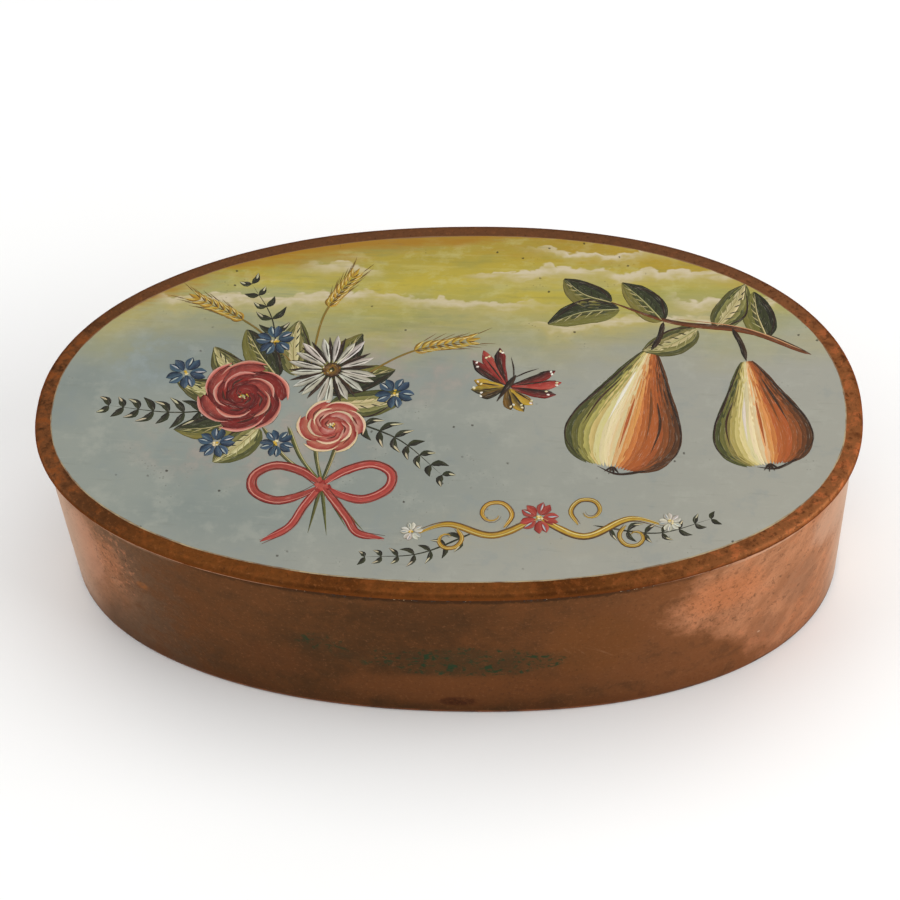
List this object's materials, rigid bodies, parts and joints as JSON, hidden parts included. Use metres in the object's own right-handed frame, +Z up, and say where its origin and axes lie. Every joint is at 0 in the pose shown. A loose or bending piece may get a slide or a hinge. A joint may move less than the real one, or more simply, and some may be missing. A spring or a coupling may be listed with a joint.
{
  "type": "trinket box",
  "caption": "Oval sheet-copper box with a flat painted lid that lifts off; an inner collar under the lid drops inside the wall.",
  "frame": {"origin": "middle of the flat bottom", "axes": "+X along the oval to the right, +Y to the back, +Z up out of the lid; the joints of the bent strips are at the back"},
  "size_m": [0.19, 0.1112, 0.0501],
  "materials": {
    "copper_wall": "patinated copper, satin, rubbed bright in places",
    "copper_base": "patinated copper, satin",
    "copper_lid": "patinated copper, satin, darker at the edge",
    "copper_collar": "copper, satin",
    "copper_wire": "drawn copper wire",
    "solder": "dull soft solder",
    "primer": "matt cream ground coat",
    "paint": "hand-painted, satin, pale blue-grey ground"
  },
  "bodies": {
    "body": {"body_wall": "copper_wall", "wall_seam_solder": "solder", "base_plate": "copper_base", "base_solder": "solder"},
    "lid": {"lid_sheet": "copper_lid", "rim_wire": "copper_wire", "lid_collar": "copper_collar", "collar_seam_solder": "solder", "collar_solder": "solder", "primer_coat": "primer", "paint_film": "paint"}
  },
  "joints": [
    {"name": "lid_lift", "type": "slide", "parent": "body", "child": "lid", "axis": [0, 0, 1], "range_m": [0, 0.08]}
  ]
}
